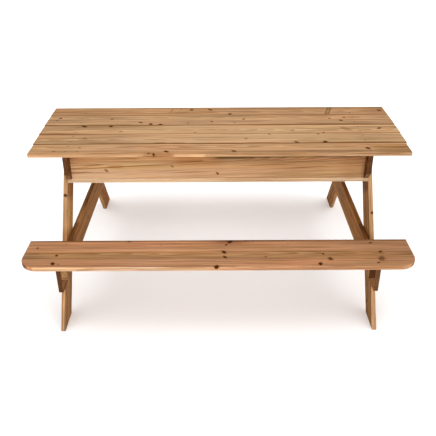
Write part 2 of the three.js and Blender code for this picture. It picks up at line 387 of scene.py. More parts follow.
def pine_group():
    """Solid pine. Its Board input is the place in the board, in metres along, across and through it."""
    group = bpy.data.node_groups.new("pine", "ShaderNodeTree")
    for direction, sockets in (("INPUT", PINE_INPUTS), ("OUTPUT", PINE_OUTPUTS)):
        for kind, names in sockets.items():
            for name in names:
                group.interface.new_socket(name=name, in_out=direction, socket_type=kind)
    g = Graph(group)
    given = g.node("NodeGroupInput").outputs
    out = g.node("NodeGroupOutput").inputs
    seed = g.combine(given["Seed"], given["Seed"], given["Seed"])
    place = g.vector("ADD", given["Board"], g.vector("MULTIPLY", seed, SEED_SHIFT))
    late = growth_rings(g, given, place)

    swing = 0.0
    streaks = {}
    for name, streak in STREAKS.items():
        stretch = (streak["along"], streak["across"], streak["across"])
        streaks[name] = g.noise(place, stretch, STREAK_DETAIL, STREAK_ROUGHNESS)["Fac"]
        swing = g.add(swing, g.times(g.minus(streaks[name], 0.5), streak["contrast"]))
    shade = g.math("MAXIMUM", g.add(1.0, g.times(swing, given["Contrast"])), LOWEST_SHADE)
    colour = g.mix(g.times(late, LATE_SHARE), given["Early"], given["Late"])
    colour = g.mix(1.0, colour, g.combine(shade, shade, shade), "MULTIPLY")

    # Slow changes of tint, dark resin lines and fine drying cracks.
    for kind, tint in MARK_TINTS.items():
        colour = g.tinted(mark_mask(g, place, kind), colour, tint)
    crack = mark_mask(g, place, "crack")
    crack_share = g.add(CRACK_SHARE, g.times(given["End"], END_CRACK_SHARE))
    colour = g.mix(g.times(crack, crack_share), colour, colour4(KNOT_RIM))

    # Tint of the place, worn arrises, knots, end grain and grime between boards.
    colour = g.mix(1.0, colour, given["Tint"], "MULTIPLY")
    face_tint = g.mix(given["Broad"], given["NarrowTint"], given["BroadTint"])
    colour = g.mix(1.0, colour, face_tint, "MULTIPLY")
    colour = g.tinted(g.times(given["Arris"], mark_mask(g, place, "chafe")), colour, WORN_TINT)
    colour = g.tinted(given["Halo"], colour, HALO_TINT)
    knot_colour = g.mix(given["Heart"], colour4(KNOT_RIM), colour4(KNOT_HEART))
    colour = g.mix(given["Knot"], colour, knot_colour)
    end_colour = g.mix(g.times(late, END_LATE_SHARE), colour4(END_COLOUR), colour4(KNOT_RIM))
    end_shade = g.step(streaks["middle"], *END_SHADE_LEVELS, *END_SHADES)
    colour = g.mix(g.times(g.times(given["End"], given["EndDark"]), end_shade), colour, end_colour)
    colour = g.mix(given["Grime"], colour, colour4(GRIME_COLOUR))
    g.feed(out["Colour"], colour)

    rough = g.add(WOOD_ROUGHNESS, g.times(streaks["fibre"], FIBRE_ROUGHNESS))
    g.feed(out["Roughness"], g.minus(rough, g.times(given["Knot"], KNOT_SMOOTHNESS)))
    height = g.add(g.times(late, HEIGHTS["late"]), g.times(streaks["fibre"], HEIGHTS["fibre"]))
    height = g.add(height, g.times(streaks["fine"], HEIGHTS["fine"]))
    height = g.minus(height, g.times(crack, HEIGHTS["crack"]))
    g.feed(out["Height"], g.add(height, g.times(given["Knot"], HEIGHTS["knot"])))


def knot_masks(g, place, over_axis, half_over, depths, stretch, knots, slants):
    """(knot, heart, halo) for knots on the two faces that lie along the grain and along over_axis.

    Each knot is (along, over, radius, darkness). depths are metres under the nearer of the two faces
    and under the first one: a knot that an arris cuts is on the first face only, and stays round.
    slants are how far each knot leans along the grain.
    """
    edge = g.noise(g.combine(*place), RAGGED_NOISE, 3.0)["Fac"]
    ragged = g.add(RAGGED_LEAST, g.times(edge, RAGGED_SWING))
    knot, heart, halo = 0.0, 0.0, 0.0
    for (along, over, radius, darkness), slant in zip(knots, slants):
        depth = depths[1] if abs(over) + radius > half_over else depths[0]
        du = g.times(g.minus(place[0], along), stretch / radius)
        dv = g.times(g.minus(place[over_axis], over), 1.0 / radius)
        dw = g.times(depth, KNOT_SHALLOWNESS / radius)
        body = g.combine(g.add(du, g.times(dv, slant)), dv, dw)
        distance = g.times(g.vector("LENGTH", body), ragged)
        tail = g.combine(g.times(du, 1.0 / TAIL_REACH), g.times(dv, 1.0 / TAIL_HALF_WIDTH), dw)
        tail_distance = g.times(g.vector("LENGTH", tail), ragged)
        tail_mask = g.step(tail_distance, *TAIL_FADE, 0.0, darkness * TAIL_DARKNESS)
        knot = g.math("MAXIMUM", knot, tail_mask)
        knot = g.math("MAXIMUM", knot, g.step(distance, *KNOT_FADE, 0.0, darkness))
        heart = g.math("MAXIMUM", heart, g.step(distance, *HEART_FADE))
        halo = g.math("MAXIMUM", halo, g.step(distance, *HALO_FADE, 0.0, darkness))
    return knot, heart, halo


def depths_under(g, value, half):
    """How deep value is under the nearer of the faces at -half and half, and under the one at half."""
    return g.minus(half, g.math("ABSOLUTE", value)), g.minus(half, value)


def patch_mask(g, place, patch):
    """1 inside a patch of a board's face, fading over its blur to 0 outside."""
    mask = 1.0
    along = g.minus(place[0], g.times(place[1], patch["slant"]))
    for value, key, blur in ((along, "along", patch["blur"][0]), (place[1], "across", patch["blur"][1])):
        low, high = patch[key]
        mask = g.times(mask, g.step(value, low - blur, low + blur))
        mask = g.times(mask, g.step(value, high + blur, high - blur))
    if patch["through"]:
        low, high = patch["through"]
        mask = g.times(mask, g.step(place[2], low - THROUGH_BLUR, low + THROUGH_BLUR))
        mask = g.times(mask, g.step(place[2], high + THROUGH_BLUR, high - THROUGH_BLUR))
    return mask


def near_side(g, value, half, margin):
    """1 where the distance of value from 0 is within margin of half."""
    return g.step(g.math("ABSOLUTE", value), half - margin, half - margin * FULL_WEAR_SHARE)


def contrast_along(g, along, look):
    """The contrast of the streaks, lower in the board's calm stretch if it has one."""
    if not look["calm"]:
        return look["contrast"]
    low, high = look["calm"]
    start = g.step(along, low - CALM_BLUR, low + CALM_BLUR)
    end = g.step(along, high + CALM_BLUR, high - CALM_BLUR)
    kept = g.minus(1.0, g.times(g.times(start, end), 1.0 - CALM_CONTRAST))
    return g.times(look["contrast"], kept)


def empty_material(name):
    """A material without nodes, and the graph to build them in."""
    material = bpy.data.materials.new(name)
    material.use_nodes = True
    material.node_tree.nodes.clear()
    return material, Graph(material.node_tree)


def add_surface(g, shader, colour, roughness, height, bump_look):
    """Give the shader its colour, roughness and bump, and make it the material's surface."""
    g.feed(shader.inputs["Base Color"], colour)
    g.feed(shader.inputs["Roughness"], roughness)
    bump = g.node("ShaderNodeBump")
    bump.inputs["Strength"].default_value = bump_look["strength"]
    bump.inputs["Distance"].default_value = bump_look["distance"]
    g.feed(bump.inputs["Height"], height)
    g.feed(shader.inputs["Normal"], bump.outputs["Normal"])
    g.feed(g.node("ShaderNodeOutputMaterial").inputs["Surface"], shader.outputs["BSDF"])


def pine_material(name, board, look):
    """Pine for one board: its grain follows the board's own axes."""
    material, g = empty_material(name)
    object_place = g.node("ShaderNodeTexCoord").outputs["Object"]
    offset = g.vector("SUBTRACT", object_place, tuple(board["centre"]))
    local = [g.vector("DOT_PRODUCT", offset, tuple(axis)) for axis in board["axes"]]
    normal = g.node("ShaderNodeNewGeometry").outputs["Normal"]
    facing = g.math("ABSOLUTE", g.vector("DOT_PRODUCT", normal, tuple(board["axes"][0])))
    half_width, half_thickness = board["half_width"], board["thickness"] / 2
    under_broad = depths_under(g, local[2], half_thickness)
    under_edge = depths_under(g, local[1], half_width)
    slants, stretch = look["knot_slants"], look["knot_stretch"]
    broad_knots = knot_masks(g, local, 1, half_width, under_broad, stretch, look["knots"], slants)
    edge_knots = knot_masks(
        g, local, 2, half_thickness, under_edge, EDGE_KNOT_STRETCH, look["edge_knots"], slants
    )
    knot, heart, halo = (g.math("MAXIMUM", *pair) for pair in zip(broad_knots, edge_knots))
    broad = g.math("ABSOLUTE", g.vector("DOT_PRODUCT", normal, tuple(board["axes"][2])))
    near_long_side = near_side(g, local[1], half_width, ARRIS_WEAR)
    arris = g.times(near_long_side, near_side(g, local[2], half_thickness, ARRIS_WEAR))
    grime = 0.0
    for side in look["grimy_sides"]:
        reached = g.times(local[1], float(side))
        crept = g.step(reached, half_width - GRIME_REACH, half_width - GRIME_FULL)
        grime = g.math("MAXIMUM", grime, crept)
    tints = {"all": colour4(look["tint"]), "broad": colour4(look["broad_tint"]), "narrow": colour4(WHITE)}
    for mark in look["patches"]:
        tints[mark["faces"]] = g.tinted(patch_mask(g, local, mark), tints[mark["faces"]], mark["tint"])

    climbed = g.minus(local[1], g.times(local[0], look["grain_slope"]))
    pine = g.node("ShaderNodeGroup", node_tree=bpy.data.node_groups["pine"])
    for key, value in {
        "Board": g.combine(local[0], climbed, local[2]),
        "Seed": look["seed"],
        "Pith": look["pith"],
        "Ring": look["ring"],
        "Contrast": contrast_along(g, local[0], look),
        "Knot": knot,
        "Heart": heart,
        "Halo": halo,
        "End": g.step(facing, *FACING),
        "EndDark": look["end_dark"],
        "Broad": g.step(broad, *FACING),
        "BroadTint": tints["broad"],
        "NarrowTint": tints["narrow"],
        "Arris": arris,
        "Grime": grime,
        "Early": colour4(look["early"]),
        "Late": colour4(look["late"]),
        "Tint": tints["all"],
    }.items():
        g.feed(pine.inputs[key], value)

    shader = g.node("ShaderNodeBsdfPrincipled")
    shader.inputs["Specular IOR Level"].default_value = PINE_SPECULAR
    made = pine.outputs
    add_surface(g, shader, made["Colour"], made["Roughness"], made["Height"], PINE_BUMP)
    return material


# -------- metal


def metal_material(name, bright, dull, rust):
    """Plated steel: bright and dull spangles that also give its bump, and rust where rust is more than 0.
    """
    material, g = empty_material(name)
    place = g.node("ShaderNodeTexCoord").outputs["Object"]
    spangle = g.noise(place, SPANGLE_NOISE, 3.0)["Fac"]
    cloud = g.noise(place, RUST_NOISE, 3.0)["Fac"]
    colour = g.mix(g.step(spangle, *SPANGLE_LEVELS), colour4(dull), colour4(bright))
    rusty = g.times(g.step(cloud, *RUST_LEVELS), rust)
    colour = g.mix(rusty, colour, colour4(RUST_COLOUR))
    shader = g.node("ShaderNodeBsdfPrincipled")
    g.feed(shader.inputs["Metallic"], g.minus(1.0, rusty))
    roughness = g.add(METAL_ROUGHNESS, g.times(cloud, METAL_ROUGHNESS_SWING))
    add_surface(g, shader, colour, roughness, spangle, METAL_BUMP)
    return material


# -------- board shapes


def measured(node, axes):
    """A CAD board's centre, its outline along and across the grain, and its thickness."""
    points = [v.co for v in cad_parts[node].data.vertices]
    local = [Vector((p.dot(axes[0]), p.dot(axes[1]), p.dot(axes[2]))) for p in points]
    low = Vector([min(p[i] for p in local) for i in range(3)])
    high = Vector([max(p[i] for p in local) for i in range(3)])
    middle = (low + high) / 2
    centre = sum((axis * value for axis, value in zip(axes, middle)), Vector())
    flat = sorted({(round(p[0] - middle[0], 6), round(p[1] - middle[1], 6)) for p in local})
    hull = [Vector(flat[i]) for i in geometry.convex_hull_2d(flat)]
    return {
        "centre": centre,
        "axes": axes,
        "outline": [p for i, p in enumerate(hull) if corner_at(hull, i)],
        "half_length": (high - low)[0] / 2,
        "half_width": (high - low)[1] / 2,
        "thickness": (high - low)[2],
    }


def corner_at(points, i):
    """True if the outline turns at point i."""
    before, here, after = points[i - 1], points[i], points[(i + 1) % len(points)]
    return abs((here - before).normalized().cross((after - here).normalized())) > 1e-3


def to_row(board, along, across, through):
    axes = board["axes"]
    return board["centre"] + axes[0] * along + axes[1] * across + axes[2] * through


def mesh_of(name, bm):
    mesh = bpy.data.meshes.new(name)
    bm.to_mesh(mesh)
    bm.free()
    return mesh


def board_mesh(name, board):
    """The board's outline given its thickness, with every arris eased."""
    half = board["thickness"] / 2
    bm = bmesh.new()
    lower = [bm.verts.new(to_row(board, p[0], p[1], -half)) for p in board["outline"]]
    upper = [bm.verts.new(to_row(board, p[0], p[1], half)) for p in board["outline"]]
    bm.faces.new(upper)
    bm.faces.new(list(reversed(lower)))
    count = len(lower)
    for i in range(count):
        j = (i + 1) % count
        bm.faces.new((lower[i], lower[j], upper[j], upper[i]))
    bmesh.ops.recalc_face_normals(bm, faces=bm.faces)
    sharp = [e for e in bm.edges if e.calc_face_angle(0.0) > EASED_ANGLE]
    bmesh.ops.bevel(
        bm, geom=sharp, offset=ARRIS, segments=ARRIS_SEGMENTS, profile=ARRIS_PROFILE, affect="EDGES"
    )
    return mesh_of(name, bm)


def added(name, mesh):
    made = bpy.data.objects.new(name, mesh)
    bpy.context.scene.collection.objects.link(made)
    return made


def carve(made, cutters):
    """Cut the cutters' mesh out of made for good, and delete it."""
    cutter = added(made.name + "_cutter", cutters)
    hollow = made.modifiers.new("hollow", "BOOLEAN")
    hollow.operation = "DIFFERENCE"
    hollow.solver = "EXACT"
    hollow.object = cutter
    bpy.context.view_layer.update()
    depsgraph = bpy.context.evaluated_depsgraph_get()
    whole = made.data
    made.data = bpy.data.meshes.new_from_object(made.evaluated_get(depsgraph))
    made.modifiers.clear()
    made.data.name = whole.name
    bpy.data.objects.remove(cutter)
    bpy.data.meshes.remove(cutters)
    bpy.data.meshes.remove(whole)


def smoothed(made):
    """Smooth shading that keeps flat faces flat and real corners crisp."""
    for polygon in made.data.polygons:
        polygon.use_smooth = True
    made.data.set_sharp_from_angle(angle=CRISP_ANGLE)
    weighted = made.modifiers.new("weighted_normals", "WEIGHTED_NORMAL")
    weighted.weight = 100
    weighted.keep_sharp = True


# -------- turned pieces


def frame_along(direction):
    """A turn that takes +Z to direction."""
    return direction.to_track_quat("Z", "X").to_matrix().to_4x4()


def add_rings(bm, rings, place):
    """Skin closed rings of equal count one after another, and close both ends."""
    made = [[bm.verts.new(place @ Vector(point)) for point in ring] for ring in rings]
    count = len(made[0])
    for lower, upper in zip(made, made[1:]):
        for i in range(count):
            j = (i + 1) % count
            bm.faces.new((lower[i], lower[j], upper[j], upper[i]))
    bm.faces.new(list(reversed(made[0])))
    bm.faces.new(made[-1])


def around(height, reach_at):
    """Points round the Z axis at one height: reach_at gives the radius at each angle."""
    angles = [2 * math.pi * i / SCREW_SIDES for i in range(SCREW_SIDES)]
    return [(reach_at(a) * math.cos(a), reach_at(a) * math.sin(a), height) for a in angles]


def ring(radius, height, lobe=0.0, lobes=0):
    """Points round the Z axis; the radius swings by lobe, lobes times in a turn."""
    return around(height, lambda angle: radius + lobe * math.cos(lobes * angle))


def screw_rings():
    """A countersunk head with a six-lobed drive, and the start of its shank."""
    head = -SCREW_HEAD_DEPTH
    return [
        ring(SCREW_THROAT_RADIUS, -SCREW_LENGTH),
        ring(SCREW_THROAT_RADIUS, head - SCREW_CONE_DEPTH),
        ring(SCREW_HEAD_RADIUS, head - SCREW_RIM_DEPTH),
        ring(SCREW_HEAD_RADIUS, head - SCREW_EASING_DEPTH),
        ring(SCREW_HEAD_RADIUS - SCREW_EASING, head),
        ring(DRIVE_RADIUS, head, DRIVE_LOBE, DRIVE_LOBES),
        ring(DRIVE_RADIUS - SCREW_EASING, head - DRIVE_DEPTH, DRIVE_LOBE, DRIVE_LOBES),
    ]


def recess_rings():
    """The hole that a screw's head has pulled itself into."""
    return [
        ring(RECESS_THROAT_RADIUS, -RECESS_DEPTH),
        ring(RECESS_THROAT_RADIUS, -RECESS_DEPTH / 3),
        ring(RECESS_RADIUS, RECESS_LIP),
        ring(RECESS_RADIUS, RECESS_OVERSHOOT),
    ]


def screw_places(node, board):
    """(place, outward direction) of each screw head seated in a board."""
    c = board["centre"]
    low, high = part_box(node)
    places = []

    def seat_at(x, y, z, direction):
        places.append((Vector((x, y, z)), direction))

    def seat_pair(x, y, z, spread, direction):
        seat_at(x, y - spread, z, direction)
        seat_at(x, y + spread, z, direction)

    if node.startswith("tabletop_board"):
        for side in ("left", "right"):
            cleat_low, cleat_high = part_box(f"top_cleat_{side}")
            seat_pair((cleat_low[0] + cleat_high[0]) / 2, c[1], high[2], TOP_SCREW_SPREAD, Z)
    elif node in ("seat_front", "seat_rear"):
        for side in ("left", "right"):
            beam_low, beam_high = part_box(f"seat_beam_{side}")
            seat_pair((beam_low[0] + beam_high[0]) / 2, c[1], high[2], SEAT_SCREW_SPREAD, Z)
    elif node.startswith("leg"):
        end, side = node.split("_")[1:]
        strip_low, strip_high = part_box(f"stretcher_{end}")
        outward = X if side == "right" else -X
        x = high[0] if side == "right" else low[0]
        middle = (strip_low[1] + strip_high[1]) / 2
        seat_pair(x, middle, (strip_low[2] + strip_high[2]) / 2, LEG_SCREW_SPREAD, outward)
    elif node.startswith("top_cleat"):
        outward = X if node.endswith("right") else -X
        x = high[0] if node.endswith("right") else low[0]
        for end in ("front", "rear"):
            apron_low, apron_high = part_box(f"apron_{end}")
            for z in (apron_low[2] + APRON_SCREW_ABOVE, apron_high[2] - APRON_SCREW_BELOW):
                seat_at(x, (apron_low[1] + apron_high[1]) / 2, z, outward)
    elif node.startswith("seat_block"):
        inward = -X if node.endswith("right") else X
        x = low[0] if node.endswith("right") else high[0]
        seat_pair(x, c[1], c[2], BLOCK_SCREW_SPREAD, inward)
    elif node.startswith("stretcher"):
        apron_low, apron_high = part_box(node.replace("stretcher", "apron"))
        for share in (-0.75, -0.25, 0.25, 0.75):
            seat_at(c[0] + share * high[0], (apron_low[1] + apron_high[1]) / 2, low[2], -Z)
    elif node == "middle_batten":
        for number in range(1, 6):
            top_low, top_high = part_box(f"tabletop_board_{number}")
            rearmost = min(high[1] - BATTEN_SCREW_MARGIN, (top_low[1] + top_high[1]) / 2)
            y = max(low[1] + BATTEN_SCREW_MARGIN, rearmost)
            for offset in (-BATTEN_SCREW_SPREAD, BATTEN_SCREW_SPREAD):
                seat_at(c[0] + offset, y, low[2], -Z)
    return places


def turned_mesh(name, places, rings):
    bm = bmesh.new()
    for place, direction in places:
        add_rings(bm, rings, Matrix.Translation(place) @ frame_along(direction))
    bmesh.ops.recalc_face_normals(bm, faces=bm.faces)
    return mesh_of(name, bm)


# -------- which board is which


def families():
    """(node, axes, slot) for every board. The axes run along, across and through the board."""
    boards = []
    for number in range(1, 6):
        boards.append((f"tabletop_board_{number}", (X, Y, Z), "tabletop_pine"))
    for end, sign in (("front", -1), ("rear", 1)):
        boards.append((f"seat_{end}", (X, Y, Z), "seat_pine"))
        boards.append((f"apron_{end}", (X, Z, -Y), "apron_pine"))
        boards.append((f"stretcher_{end}", (X, Y, Z), "apron_pine"))
        lean = Vector((0, -sign * math.sin(LEG_LEAN), math.cos(LEG_LEAN)))
        for side in ("left", "right"):
            boards.append((f"leg_{end}_{side}", (lean, X.cross(lean), X), "frame_pine"))
            boards.append((f"seat_block_{end}_{side}", (Y, Z, X), "frame_pine"))
    for side in ("left", "right"):
        boards.append((f"top_cleat_{side}", (Y, Z, X), "frame_pine"))
        boards.append((f"seat_beam_{side}", (Y, Z, X), "frame_pine"))
    boards.append(("middle_batten", (Y, -X, Z), "frame_pine"))
    return boards


# Knots of the boards seen from the front: place along and across from the middle, radius, darkness.
# Many of the places were read off the photo and turned into metres with the camera above.
KNOTS = {
    "tabletop_board_1": [
        (-0.152, 0.022, 0.0091, 1.0), (-0.049, 0.022, 0.0091, 1.0), (0.06, -0.048, 0.0091, 1.0),
        (-0.265, 0.02, 0.0051, 0.5), (-0.21, 0.035, 0.0051, 0.5), (0.885, 0.0, 0.0125, 0.6),
    ],
    "tabletop_board_2": [
        (-0.855, 0.035, 0.0073, 0.9), (-0.865, 0.0, 0.0051, 0.7), (-0.575, 0.02, 0.0063, 1.0),
        (-0.415, -0.035, 0.0081, 0.9), (-0.36, -0.058, 0.0091, 1.0), (0.13, 0.01, 0.0063, 1.0),
        (0.59, 0.015, 0.0055, 0.8), (0.645, -0.015, 0.0081, 1.0), (0.67, 0.03, 0.0063, 0.8),
        (-0.04, -0.025, 0.0063, 0.8), (0.08, -0.04, 0.0051, 0.5), (-0.165, -0.05, 0.0059, 0.5),
        (-0.312, -0.068, 0.01, 1.0),
    ],
    "tabletop_board_3": [
        (-0.705, 0.05, 0.0109, 1.0), (-0.565, 0.05, 0.0091, 1.0), (0.645, 0.005, 0.0187, 0.25),
        (0.82, 0.005, 0.0091, 0.9), (0.37, -0.02, 0.0102, 0.3), (-0.505, -0.025, 0.0102, 0.3),
        (-0.125, -0.045, 0.0051, 0.6), (0.525, -0.053, 0.0055, 0.8),
    ],
    "tabletop_board_4": [
        (0.515, -0.052, 0.01, 1.0), (0.25, 0.05, 0.0059, 0.5), (0.13, -0.005, 0.0068, 0.5),
        (-0.67, 0.005, 0.0119, 0.3), (0.495, 0.052, 0.0068, 0.5), (0.375, -0.054, 0.0091, 0.8),
    ],
    "tabletop_board_5": [
        (0.706, -0.008, 0.0096, 1.0), (-0.252, -0.036, 0.0091, 1.0), (0.068, -0.036, 0.0086, 0.9),
        (-0.334, -0.055, 0.0065, 0.6), (-0.676, -0.034, 0.0043, 0.5),
        (-0.672, 0.014, 0.0055, 0.3), (-0.785, -0.03, 0.005, 0.6), (0.312, 0.01, 0.0043, 0.3),
    ],
    "seat_front": [
        (0.027, 0.008, 0.0101, 1.0), (0.031, -0.034, 0.0081, 1.0), (0.056, 0.098, 0.012, 0.95),
        (-0.008, -0.112, 0.0115, 1.0), (0.511, -0.052, 0.0118, 0.75), (0.46, -0.092, 0.0098, 1.0),
        (0.038, 0.071, 0.0062, 0.8),
        (0.484, -0.01, 0.0056, 0.9), (0.745, -0.052, 0.0169, 0.55), (0.752, 0.006, 0.0081, 0.9),
        (0.218, -0.032, 0.0057, 0.5), (-0.85, 0.05, 0.0056, 0.8), (-0.746, -0.015, 0.0068, 1.0),
        (-0.748, -0.082, 0.0096, 1.0), (0.723, -0.085, 0.006, 0.8), (-0.425, 0.108, 0.0085, 0.6),
        (0.723, 0.085, 0.0065, 0.9), (0.33, 0.08, 0.004, 0.3), (-0.27, 0.07, 0.004, 0.3),
    ],
    "apron_front": [
        (-0.22, -0.002, 0.0052, 0.5), (-0.002, -0.04, 0.0059, 0.8), (-0.54, -0.022, 0.0075, 0.55),
    ],
    "seat_beam_left": [
        (0.162, 0.028, 0.0051, 0.8), (-0.06, -0.01, 0.0085, 0.5), (0.34, -0.02, 0.0068, 0.7),
    ],
    "seat_beam_right": [
        (0.225, 0.003, 0.0059, 0.9), (-0.12, 0.02, 0.0076, 0.5), (0.44, -0.015, 0.0068, 0.6),
    ],
}

# Knots on boards' narrow faces: place along and through from the middle, radius, darkness.
EDGE_KNOTS = {
    "tabletop_board_5": [(-0.31, 0.003, 0.0066, 0.9)],
    "leg_front_left": [(0.166, 0.0, 0.0095, 0.9)],
    "leg_front_right": [(0.074, 0.008, 0.0085, 1.0)],
}

# The colour of each tabletop board against their mean.
BOARD_TINTS = {
    "tabletop_board_1": (0.92, 0.85, 0.79),
    "tabletop_board_2": (0.94, 0.95, 0.98),
    "tabletop_board_3": (1.02, 1.04, 1.04),
    "tabletop_board_4": (0.99, 1.02, 1.04),
    "tabletop_board_5": (0.99, 0.96, 0.93),
}

# The colour of the frames' broad faces against their narrow ones. Like the other tints it was chosen
# by comparing the photo's colours with the render's, so it holds some shade as well as wood colour.
BROAD_TINTS = {
    "leg_rear_left": (0.79, 0.56, 0.21),
    "leg_rear_right": (0.81, 0.63, 0.26),
    "leg": (1.0, 0.92, 0.66),
    "seat_beam_left": (0.8, 0.64, 0.34),
    "seat_beam_right": (0.85, 0.69, 0.37),
    "top_cleat": (0.42, 0.31, 0.19),
    "seat_block": (0.85, 0.75, 0.58),
}

# Ends that are paler than their kind's.
PALE_ENDS = {
    # The front left block's pale end is painted light: it stands for light reaching it from the right,
    # while the right block's end keeps the dark colour.
    "seat_block_front_left": 0.4,
    "seat_beam_left": 0.93,
    "seat_beam_right": 0.84,
    "top_cleat_left": 0.9,
    "top_cleat_right": 0.9,
}

# Long sides that face a neighbour across a gap and have darkened: 1 is the rear side, -1 the front.
GRIMY_SIDES = {
    "tabletop_board_1": (-1,),
    "tabletop_board_2": (1, -1),
    "tabletop_board_3": (1, -1),
    "tabletop_board_4": (1, -1),
    "tabletop_board_5": (1,),
}


def patch(along, across, tint, blur=(0.1, 0.004), slant=0.0, faces="all", through=None):
    """A tinted stretch of a board, between two places along it and two across it.

    It shows on all faces, or on the broad ones or the narrow ones only, and through limits its depth.
    """
    return {
        "along": along,
        "across": across,
        "through": through,
        "tint": tint,
        "blur": blur,
        "slant": slant,
        "faces": faces,
    }


# Across the whole of any board narrower than 140 mm.
FULL_WIDTH = (-0.07, 0.07)

# The seats' heart band, darker and greener, with a dark line along its rear side, and a dark strip
# along the seat's rear edge.
SEAT_BAND = [
    patch((-1.0, 1.0), (-0.046, 0.012), (0.82, 0.86, 0.74), (0.1, 0.01)),
    patch((-1.0, 1.0), (0.004, 0.012), (0.8, 0.74, 0.62), (0.1, 0.005)),
    patch((-1.0, 1.0), (0.102, 0.13), (0.46, 0.39, 0.29), (0.1, 0.003)),
]

